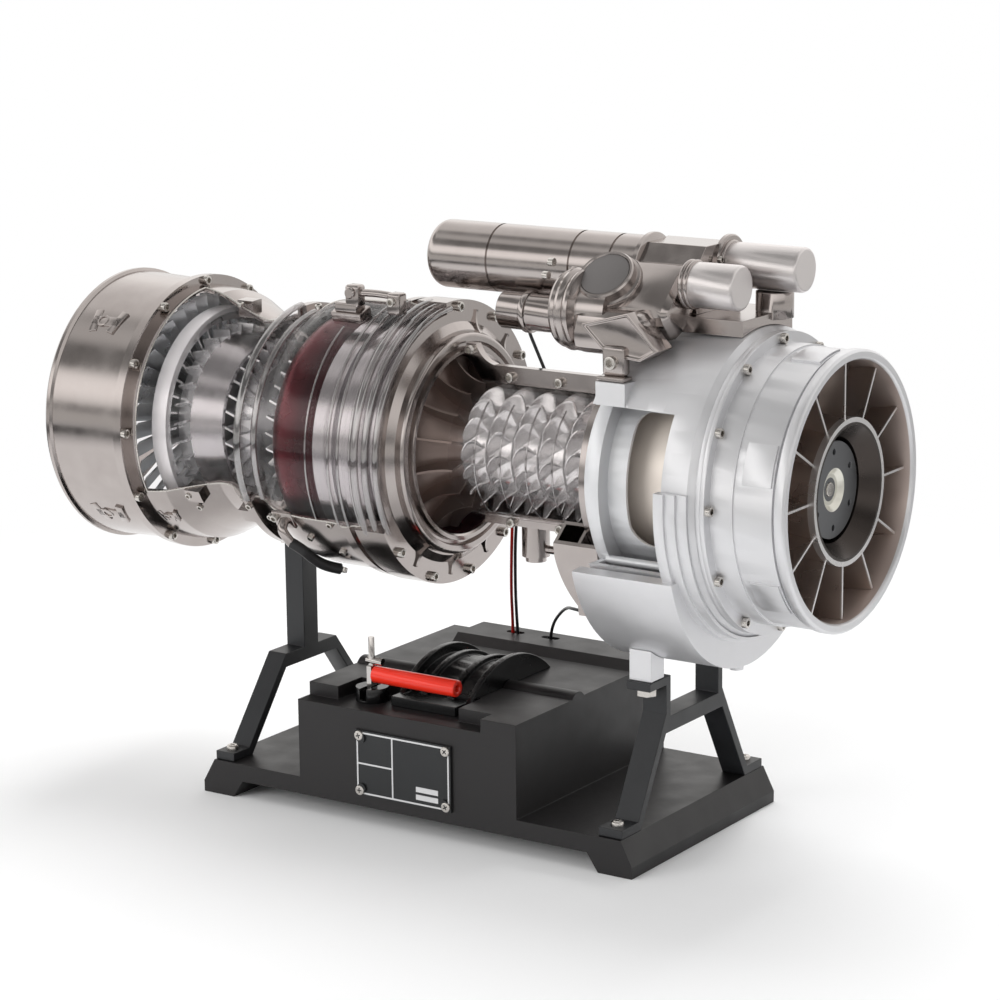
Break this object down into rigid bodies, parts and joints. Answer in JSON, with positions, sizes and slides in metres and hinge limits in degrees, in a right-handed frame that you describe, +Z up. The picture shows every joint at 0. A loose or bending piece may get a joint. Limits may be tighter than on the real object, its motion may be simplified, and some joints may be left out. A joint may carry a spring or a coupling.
{
  "type": "turboshaft engine display model",
  "caption": "Cut-away metal desk model of a turboshaft engine on a black stand, with two free-turning rotors, clear windows and a red start lever.",
  "frame": {"origin": "centre of the whole box's base, on the surface that the feet stand on", "axes": "+X along the engine axis from the exhaust to the inlet, +Y away from the cut-away side, +Z up"},
  "size_m": [0.262, 0.0952, 0.1789],
  "materials": {
    "black_plastic": "fine matt moulded",
    "steel": "bright",
    "silver_paint": "satin silver",
    "plate_grey": "satin",
    "grip_red": "semi-gloss",
    "nickel": "plated, softly brushed",
    "clear_plastic": "clear polished",
    "liner_red": "gloss",
    "band_grey": "satin grey",
    "rotor_silver": "bright silver",
    "impeller_dark": "dark satin",
    "core_cream": "satin",
    "wire_red": "insulation",
    "wire_black": "insulation"
  },
  "bodies": {
    "engine": {"accessory_gearbox": "nickel", "bleed_duct": "nickel", "combustor_casing": "nickel", "combustor_liner": "liner_red", "combustor_screws": "steel", "combustor_window": "clear_plastic", "compressor_casing": "nickel", "compressor_window": "clear_plastic", "diffuser_case": "nickel", "exhaust_duct": "nickel", "exhaust_frame": "nickel", "filter_canisters": "nickel", "front_frame": "silver_paint", "front_screws": "steel", "front_stand_frame": "black_plastic", "fuel_pump": "nickel", "fuel_tube_bottom": "nickel", "fuel_tube_top": "nickel", "hot_section_screws": "steel", "inlet_barrel": "silver_paint", "inner_barrel": "silver_paint", "inner_core": "core_cream", "lead_1_black": "wire_black", "lead_1_red": "wire_red", "lead_2": "wire_black", "lead_3": "wire_black", "lever_boss": "black_plastic", "liner_bands": "band_grey", "nameplate": "plate_grey", "pan_screws": "steel", "quadrant_cover": "black_plastic", "rear_stand_frame": "black_plastic", "scroll_case": "silver_paint", "shaft_bearings": "steel", "split_line_screws": "steel", "stand_base": "black_plastic", "starter_motor": "nickel", "support_blocks": "silver_paint", "support_nuts": "steel", "swirl_frame": "silver_paint", "tube_fittings": "steel", "turbine_casing": "nickel", "turbine_duct": "band_grey", "turbine_nozzle": "rotor_silver", "turbine_window": "clear_plastic", "valve_body": "nickel"},
    "gas_generator": {"compressor_drum": "rotor_silver", "compressor_stage_1": "rotor_silver", "compressor_stage_2": "rotor_silver", "compressor_stage_3": "rotor_silver", "compressor_stage_4": "rotor_silver", "compressor_stage_5": "rotor_silver", "impeller": "impeller_dark", "gas_generator_turbine": "rotor_silver"},
    "power_rotor": {"power_shaft": "steel", "power_turbine_stage_1": "rotor_silver", "power_turbine_stage_2": "rotor_silver", "output_coupling": "core_cream"},
    "lever": {"start_lever": "steel", "lever_grip": "grip_red"}
  },
  "joints": [
    {"name": "gas_generator_spin", "type": "hinge", "parent": "engine", "child": "gas_generator", "pos_m": [0, 0, 0.11108], "axis": [1, 0, 0], "continuous": true},
    {"name": "power_rotor_spin", "type": "hinge", "parent": "engine", "child": "power_rotor", "pos_m": [0, 0, 0.11108], "axis": [1, 0, 0], "continuous": true},
    {"name": "start_lever_hinge", "type": "hinge", "parent": "engine", "child": "lever", "pos_m": [-0.015, -0.0308, 0.0386], "axis": [-1, 0, 0], "range_deg": [0, 20]}
  ]
}
